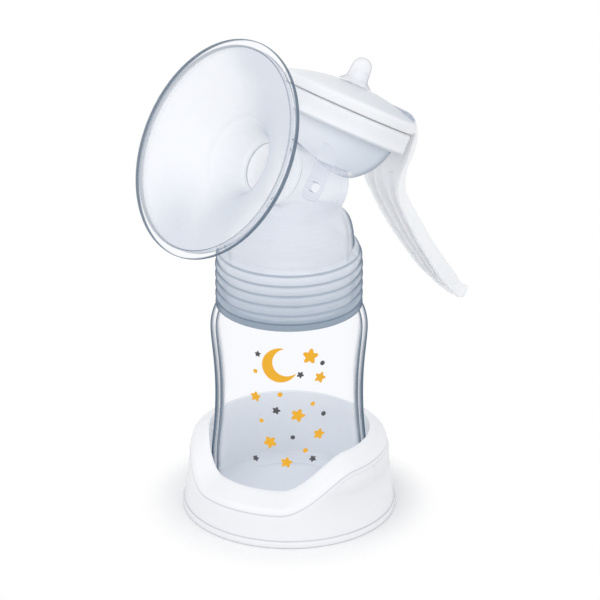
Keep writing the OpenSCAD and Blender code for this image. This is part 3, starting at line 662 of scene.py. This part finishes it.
def grip_radius(angle, z, inset):
    """Distance from the axis to the flat face of the nearer hand grip, or a large number."""
    phi = (angle - GRIP_TURN + math.pi / 2) % math.pi - math.pi / 2
    if abs(phi) > GRIP_HALF:
        return 99.0
    w = z - GRIP_Z
    c = BOTTLE_R - GRIP_DEPTH - inset + w * w / (2 * GRIP_ALONG) - GRIP_ACROSS
    return c * math.cos(phi) + math.sqrt(GRIP_ACROSS ** 2 - (c * math.sin(phi)) ** 2)


def bottle_point(angle, r, z, inset):
    """A point of the bottle's round outline, pressed in where a grip is."""
    if GRIP_LOW < z < GRIP_HIGH and r > 20:
        r = soft_min(r, grip_radius(angle, z, inset), 0.9)
    return r, z


def shoulder(wide, narrow, low, high, n):
    """Curve from the bottle's straight side up into its neck."""
    return bend((wide, low), (wide, high - 2), (narrow, high), n)


def build_bottle():
    """Outside and inside of the bottle as one closed wall."""
    r_in, neck_in = BOTTLE_R - BOTTLE_WALL, NECK_R - BOTTLE_WALL
    outer = [(0.0, 1.6), (8, 1.45), (16, 1.0), (22.4, 0.4), (23.6, 0.08), (24.4, 0.0)]
    outer += arc(BOTTLE_R - 4, 4, 4, -90, 0, 10)[1:]
    outer += straight(outer[-1], (BOTTLE_R, SHOULDER_LOW), 44)
    outer += shoulder(BOTTLE_R, NECK_R, SHOULDER_LOW, SHOULDER_HIGH, 18)[1:]
    outer += [(NECK_R, 86), (NECK_R, 91), (NECK_R, NECK_TOP - 0.8), (NECK_R - 0.2, NECK_TOP - 0.2),
              (NECK_R - 0.6, NECK_TOP)]
    inner = [(neck_in + 0.5, NECK_TOP), (neck_in + 0.1, NECK_TOP - 0.2), (neck_in, NECK_TOP - 0.7),
             (neck_in, 90), (neck_in, 85)]
    inner += shoulder(r_in, neck_in, SHOULDER_LOW - 1, SHOULDER_HIGH - 1, 18)[::-1]
    inner += straight(inner[-1], (r_in, 6), 42)
    inner += arc(r_in - 2, 5.6, 2, 0, -90, 8)[1:] + [(16, 3.5), (8, 3.6), (0.0, 3.6)]
    n = 192
    points = []
    for ring, inset in ((outer, 0.0), (inner, BOTTLE_WALL)):
        for r, z in ring:
            for k in range(n):
                a = 2 * math.pi * k / n
                rr, zz = bottle_point(a, r, z, inset)
                points.append((rr * math.cos(a), rr * math.sin(a), zz + BASE_Z))
    faces = grid_faces(len(outer) + len(inner), n)
    o = make("bottle_shell", points, faces, "bottle", "bottle", sharp=60)
    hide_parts("bottle")


def build_thread():
    """A turn and a half of screw thread, fading out at both ends."""
    n, turns, pitch, first_z, high, fade = 150, 1.5, 3.2, 86.6, 0.42, 12
    points = []
    for i in range(n + 1):
        a = 2 * math.pi * turns * i / n
        full = min(1, i / fade, (n - i) / fade)
        z = BASE_Z + first_z + pitch * turns * i / n
        for dr, dz in ((-0.2, -0.9), (high * full, -0.35), (high * full, 0.35), (-0.2, 0.9)):
            r = NECK_R + dr
            points.append((r * math.cos(a), r * math.sin(a), z + dz * max(full, 0.2)))
    o = make("bottle_thread", points, grid_faces(n + 1, 4), "bottle", "bottle", sharp=50)


def shoulder_radius(z):
    """Radius of the bottle's outside at a height above its base."""
    if z <= SHOULDER_LOW:
        return BOTTLE_R
    line = shoulder(BOTTLE_R, NECK_R, SHOULDER_LOW, SHOULDER_HIGH, 40)
    for (r0, z0), (r1, z1) in zip(line, line[1:]):
        if z <= z1:
            return r0 + (r1 - r0) * (z - z0) / (z1 - z0)
    return NECK_R


def wrap(across, z, lift=0.06):
    """A point of the print: millimetres across the bottle's front, and height."""
    a = PRINT_TURN + across / BOTTLE_R
    r, _ = bottle_point(a, shoulder_radius(z - BASE_Z), z - BASE_Z, 0.0)
    return ((r + lift) * math.cos(a), (r + lift) * math.sin(a), z)


def blob(cx, cz, radius, waves=0, depth=0.0, turn=0.0, rings=5, n=60):
    """Points and faces of a dot, or of a soft star with so many waves in its edge."""
    points = [wrap(cx, cz)]
    for i in range(1, rings + 1):
        for k in range(n):
            a = 2 * math.pi * k / n
            r = radius * i / rings * (1 - depth + depth * math.cos(waves * (a - turn)))
            points.append(wrap(cx + r * math.sin(a), cz + r * math.cos(a)))
    faces = [(0, 1 + k, 1 + (k + 1) % n) for k in range(n)]
    for i in range(rings - 1):
        for k in range(n):
            a, b = 1 + i * n + k, 1 + i * n + (k + 1) % n
            faces.append((a, b, b + n, a + n))
    return points, faces


def star(cx, cz, radius, turn):
    """Points and faces of a soft star with five waves."""
    return blob(cx, cz, radius, 5, 0.2, turn)


def crescent(cx, cz, radius, turn, n=48, across=6):
    """Points and faces of a crescent between a large arc and a smaller one inside it."""
    points = []
    for i in range(n + 1):
        t = math.radians(-128 + 256 * i / n)
        o = (radius * math.cos(t), radius * math.sin(t))
        s = math.radians(-101 + 202 * i / n)
        q = (-0.42 * radius + 0.8 * radius * math.cos(s), 0.8 * radius * math.sin(s))
        if i in (0, n):
            q = o
        for x, y in [o] + straight(o, q, across):
            points.append(wrap(cx + x * math.cos(turn) - y * math.sin(turn),
                               cz + x * math.sin(turn) + y * math.cos(turn)))
    return points, grid_faces(n + 1, across + 1, wrap_cols=False)


def build_print():
    """Generic night-sky print: a crescent, soft stars and dots."""
    amber = [crescent(-3.5, 74.5, 7.2, math.radians(205)),
             star(8.5, 78, 3.3, 0.2), star(12.5, 68.5, 2.4, 0.5), star(-13.5, 60, 2.2, 0.1),
             star(3.5, 53, 2.9, 0.4), star(-7.5, 41, 2.7, 0.7), star(12.0, 44, 2.4, 0.3),
             star(-1.0, 32.5, 2.4, 0.2), blob(-13.5, 71, 0.9), blob(9.5, 57.5, 0.9), blob(-11, 50, 0.9),
             blob(6.5, 37.5, 1.0), blob(-3.5, 62, 1.0)]
    grey = [star(4.5, 70.5, 1.5, 0.6), star(-5.0, 55, 1.7, 0.3), blob(13.5, 74.5, 1.0),
            star(-12.5, 78.5, 1.3, 0.0), star(9.5, 33.5, 1.5, 0.9), star(-13.5, 33, 1.4, 0.2),
            blob(1.5, 43.5, 0.9), blob(14.0, 52.5, 1.0)]
    for name, look, shapes in (("bottle_print_amber", "amber", amber),
                               ("bottle_print_grey", "grey", grey)):
        points, faces = [], []
        for p, f in shapes:
            base = len(points)
            points += p
            faces += [tuple(base + i for i in q) for q in f]
        o = make(name, points, faces, look, "bottle")


# ---- funnel, diaphragm, valve and seals ----------------------------------

TUNNEL_R = 10.0


def trumpet(depth, n1=30, n2=20):
    """Outline of the funnel's face from its lip through crease and throat to a depth."""
    lip = (FUNNEL_R - 3.4, 1.5)
    crease, throat = (17.0, 13.5), (TUNNEL_R, 29.2)
    return (bend(lip, (0.55 * lip[0] + 3.4, 5.67), crease, n1)
            + bend((16.5, 14.6), (12.6, 17.52), throat, n2) + [(TUNNEL_R, depth)])


def build_funnel():
    """Clear funnel with a rolled rim, and the soft liner that lies in it."""
    liner, gap, wall, roll_r, liner_end = 1.0, 0.05, 1.2, 1.8, 38.8
    flange = trumpet(liner_end + 2)
    roll = arc(FUNNEL_R - roll_r, roll_r, roll_r, 105, -155, 30)
    section = behind(flange, liner + gap) + behind(flange, liner + gap + wall)[::-1] + roll
    o = lathe("funnel_shell", section, "funnel", "pump", ALONG, 192)
    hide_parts("funnel")
    face = trumpet(liner_end)
    back = behind(face, liner)
    lip = arc((face[0][0] + back[0][0]) / 2, (face[0][1] + back[0][1]) / 2, liner / 2, 110, -70, 6)
    tip = [(TUNNEL_R + 0.3, liner_end + 0.2), (TUNNEL_R + 0.7, liner_end + 0.2)]
    o = lathe("funnel_liner", face + tip + back[::-1] + lip[1:-1], "liner", "pump", ALONG, 192)
    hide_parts("funnel_cushion")


def build_diaphragm():
    """Ridged cup from the bowl's rim to the stem's disc."""
    inner, t, low, knee_z = 21.4, 1.2, 18.65, 24.45
    ridge_depth, ridge_turn = 0.16, 2.6
    under = [(3.3, low), (6.5, low), (8.5, low)]
    under += bend((8.5, low), (inner - 3, low + 0.3), (inner - 1.9, knee_z), 22)[1:]
    under += bend((inner - 1.9, knee_z), (inner - 1.1, 27.2), (inner - 0.4, 28.45), 5)[1:]
    rim = [(24.9, 28.45), (25.35, 28.6), (25.5, 28.9), (25.5, 29.7), (25.35, 30.0), (24.9, 30.15),
           (inner - 1.0, 30.15), (inner - 1.6, 29.9)]
    over = bend((inner - 2.2, 29.05), (inner - 2.6, 27.4), (inner - 1.9 - t, knee_z), 5)
    over += bend((inner - 1.9 - t, knee_z), (inner - 4, low + t + 0.6), (8.5, low + t), 22)[1:]
    over += [(6.5, low + t), (3.3, low + t)]
    ridged = [(r, z - (ridge_depth * (1 - math.cos(r * ridge_turn)) if 9 < r < 17.6 else 0))
              for r, z in over]
    o = lathe("diaphragm_skin", under + rim + ridged, "soft", None, HEAD)
    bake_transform(o)
    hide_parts("diaphragm")


def duckbill(t, r, half_x, half_y, top, foot):
    """Half widths and height of the valve's wall, from round at t = 0 to a slit at t = 1."""
    s = t * t * (3 - 2 * t) * 0.35 + t * 0.65
    return r + (half_x - r) * s, r + (half_y - r) * s, top + (foot - top) * t


def build_valve():
    """Duckbill: a sleeve on the spigot that closes to a slit."""
    top, sleeve, foot = MOUTH_Z + 6.5, MOUTH_Z - 2.5, MOUTH_Z - 15.5
    outer_r, bore_r, steps = 9.85, 8.6, 12
    cuff = ((outer_r + 0.05, top), (outer_r + 0.3, top - 0.4), (outer_r + 0.3, top - 1.6),
            (outer_r, top - 2), (outer_r, sleeve + 1.2))
    rings = [(r, r, z) for r, z in cuff]
    rings += [duckbill(i / steps, outer_r, 1.0, 6.5, sleeve, foot) for i in range(steps + 1)]
    rings.append((0.75, 6.3, foot - 0.1))
    rings.append((0.2, 5.4, foot - 0.1))
    rings += [duckbill(1 - i / steps, bore_r, 0.2, 5.3, sleeve, foot) for i in range(steps + 1)]
    bore = ((bore_r + 0.05, sleeve + 1.5), (bore_r + 0.05, top - 0.5), (bore_r + 0.3, top))
    rings += [(r, r, z) for r, z in bore]
    n = 96
    points = []
    for x, y, z in rings:
        for k in range(n):
            a = 2 * math.pi * k / n
            points.append((x * math.cos(a), y * math.sin(a), z))
    faces = grid_faces(len(rings), n, wrap_rows=True)
    o = make("valve_duckbill", points, faces, "soft", "pump", sharp=60)
    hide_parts("outlet_valve")


def build_seals():
    """Grooved ring on the bottle's mouth, and the ring between bowl and tube."""
    z0 = MOUTH_Z + 0.3
    section = [(22.7, z0 + 0.1), (23.2, z0), (23.5, z0 + 0.2), (23.8, z0), (24.3, z0), (24.65, z0 + 0.3),
               (24.7, z0 + 0.75), (24.65, z0 + 1.2), (24.3, z0 + 1.5), (23.8, z0 + 1.5), (23.5, z0 + 1.3),
               (23.2, z0 + 1.5), (22.8, z0 + 1.4), (22.6, z0 + 0.75)]
    o = lathe("seal_ring", section, "soft", "seal")
    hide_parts("bottle_seal")
    section = [(3.65, 11.9), (4.05, 11.8), (4.45, 11.9), (4.52, 12.3), (4.45, 12.8), (4.05, 12.9),
               (3.65, 12.8), (3.58, 12.35)]
    o = lathe("spout_ring", section, "soft", "pump", HEAD, 64)
    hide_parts("bowl_seal")


# ---- collar's lip, cap, handle and pull tab ------------------------------

def build_lip():
    """Thick lower lip of the collar, which hangs over the bottle's shoulder, dark with painted shade."""
    r, top = COLLAR_R, COLLAR_Z + 0.35
    section = [(r - 1.35, top), (r - 1.3, top - 1.2), (r - 0.95, top - 2.1), (r - 0.7, top - 2.45),
               (r - 0.35, top - 2.5), (r - 0.1, top - 2.3), (r - 0.05, top - 1.9), (r - 0.2, top)]
    o = lathe("collar_lip", section, "lip", "pump", n=192)


def build_handle():
    """Cap and lever with rounded edges. The hood's skirt comes down over most of its gap."""
    voxel, band_high, lower = 0.35, 2.4, 0.33
    o = softened("cap_moulding", "cap", "cap", "pump", voxel, 2)
    o = softened("lever_moulding", "handle", "handle", "lever", voxel, 3)
    to_head = HEAD.inverted()
    for v in o.data.vertices:
        p = to_head @ v.co / MM
        if math.hypot(p.x, p.y) < HOOD_R + 0.3 and CAP_Z < p.z < CAP_Z + band_high:
            share = (CAP_Z + band_high - p.z) / 2.0
            v.co += HEAD.to_3x3() @ Vector((0, 0, -lower * MM * share))


TAB_N, TAB_SHIFT, TAB_HIGH, TAB_X, TAB_Y = 72, -1.3, 9.4, 4.75, 3.6


def tab_ring(x, y, z, shift=TAB_SHIFT):
    """One oval ring of the tab, in the head's frame, at a height above the tab's lower face."""
    turns = [2 * math.pi * k / TAB_N for k in range(TAB_N)]
    return [(x * math.cos(a) + shift, y * math.sin(a), TAB_Z + z) for a in turns]


def tab_piece(name, rings, closed):
    """A mesh of the tab's rings, in which the last may join the first."""
    points = [p for ring in rings for p in ring]
    faces = grid_faces(len(rings), TAB_N, wrap_rows=closed)
    return make(name, points, faces, "tab", "stem", HEAD, sharp=80)


def build_tab():
    """Thumb of soft silicone over the stem's tip."""
    bore_r, bore_z, side_top = 3.1, 4.2, 4.6
    rings = [tab_ring(r, r, z, 0) for r, z in ((0.0, bore_z), (bore_r, bore_z), (bore_r, 0.0))]
    flare = ((0.0, 0.75), (0.35, 0.55), (0.9, 0.25), (1.7, 0.05), (3.0, -0.1), (side_top, -0.2))
    rings += [tab_ring(TAB_X + more, TAB_Y + more, z) for z, more in flare]
    for i in range(1, 10):
        turn = math.radians(10 * i)
        k = max(math.cos(turn), 0) ** 0.8
        z = side_top + (TAB_HIGH - side_top) * math.sin(turn)
        rings.append(tab_ring((TAB_X - 0.2) * k, (TAB_Y - 0.2) * k, z))
    o = tab_piece("tab_thumb", rings, closed=False)
    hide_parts("pull_tab")


def build_tab_foot():
    """Flared foot between the tab and the hood."""
    top, drop, bore_r = 0.9, TAB_Z - CROWN_Z, 3.4
    flare = ((top, 0.2), (0.3, 0.7), (-0.4, 1.5), (0.25 - drop, 2.5), (0.05 - drop, 2.6))
    rings = [tab_ring(TAB_X + more, TAB_Y + more, z) for z, more in flare]
    rings += [tab_ring(bore_r, bore_r, z, 0) for z in (0.05 - drop, -0.1)]
    rings += [tab_ring(TAB_X - 0.6, TAB_Y - 0.35, -0.1), tab_ring(TAB_X + 0.05, TAB_Y + 0.05, top)]
    o = tab_piece("tab_foot", rings, closed=True)
    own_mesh(o)


build_stand()
build_bottle()
build_thread()
build_print()
build_funnel()
build_diaphragm()
build_valve()
build_seals()
build_lip()
build_handle()
build_tab()
build_tab_foot()


# ---- floor, world and light ----------------------------------------------

FLOOR_NEAR, FLOOR_FAR = 41, 62   # the floor fades to white between these radii


def in_view(t):
    """1 for rays that the camera sends, also after a mirroring or see-through surface."""
    path = t.add("ShaderNodeLightPath").outputs
    return t.maths("MAXIMUM", path["Is Camera Ray"],
                   t.maths("MAXIMUM", path["Is Glossy Ray"], path["Is Transmission Ray"]))


def build_floor():
    """Pale floor that shows the object's shadow near the stand and plain white further out."""
    m = new_material("floor_pale")
    t = Tree(m.node_tree)
    far = t.add("ShaderNodeVectorMath", {0: t.where()}, operation="LENGTH").outputs["Value"]
    fade = t.soft_step(far, FLOOR_NEAR * MM, FLOOR_FAR * MM)
    matt = t.add("ShaderNodeBsdfDiffuse", {"Color": (0.93, 0.93, 0.93, 1)}).outputs["BSDF"]
    white = t.add("ShaderNodeEmission", {"Color": (1, 1, 1, 1), "Strength": 1.0}).outputs["Emission"]
    near = t.add("ShaderNodeMixShader", {0: t.maths("MULTIPLY", in_view(t), fade), 1: matt, 2: white})
    t.out(near.outputs["Shader"])
    bm = bmesh.new()
    bmesh.ops.create_grid(bm, x_segments=1, y_segments=1, size=12)
    me = bpy.data.meshes.new("floor")
    bm.to_mesh(me)
    bm.free()
    me.materials.append(m)
    o = bpy.data.objects.new("floor", me)
    bpy.context.scene.collection.objects.link(o)


def build_world():
    """Soft light from all round, behind a background that the camera and gloss see as white."""
    w = bpy.data.worlds.new("studio")
    w.use_nodes = True
    bpy.context.scene.world = w
    w.node_tree.nodes.clear()
    t = Tree(w.node_tree)
    white, soft = (t.add("ShaderNodeBackground", {"Color": colour, "Strength": strength}).outputs[0]
                   for colour, strength in (((1, 1, 1, 1), 1.0), ((0.95, 0.97, 1, 1), 0.72)))
    mix = t.add("ShaderNodeMixShader", {0: in_view(t), 1: soft, 2: white}).outputs["Shader"]
    t.add("ShaderNodeOutputWorld", {"Surface": mix})


def area_light(name, at, look_at, size, power):
    """Rectangular light that faces a point."""
    d = bpy.data.lights.new(name, "AREA")
    d.shape = "RECTANGLE"
    d.size, d.size_y = size
    d.energy = power
    o = bpy.data.objects.new(name, d)
    bpy.context.scene.collection.objects.link(o)
    o.location = at
    o.rotation_mode = "QUATERNION"
    o.rotation_quaternion = (Vector(look_at) - Vector(at)).to_track_quat("-Z", "Y")


build_floor()
build_world()
centre = Vector((0, 0, 0.09))
area_light("key", centre - right * 0.6 + up * 0.45 + back * 0.8, centre, (1.1, 1.1), 3.6)
area_light("fill", centre + right * 0.7 + up * 0.15 + back * 0.75, centre, (1.1, 1.1), 2.4)
area_light("top", centre + Vector((0, 0, 0.9)), centre, (1.2, 1.2), 0.5)

bpy.context.scene.view_settings.view_transform = "Standard"
bpy.context.scene.cycles.transparent_max_bounces = 48
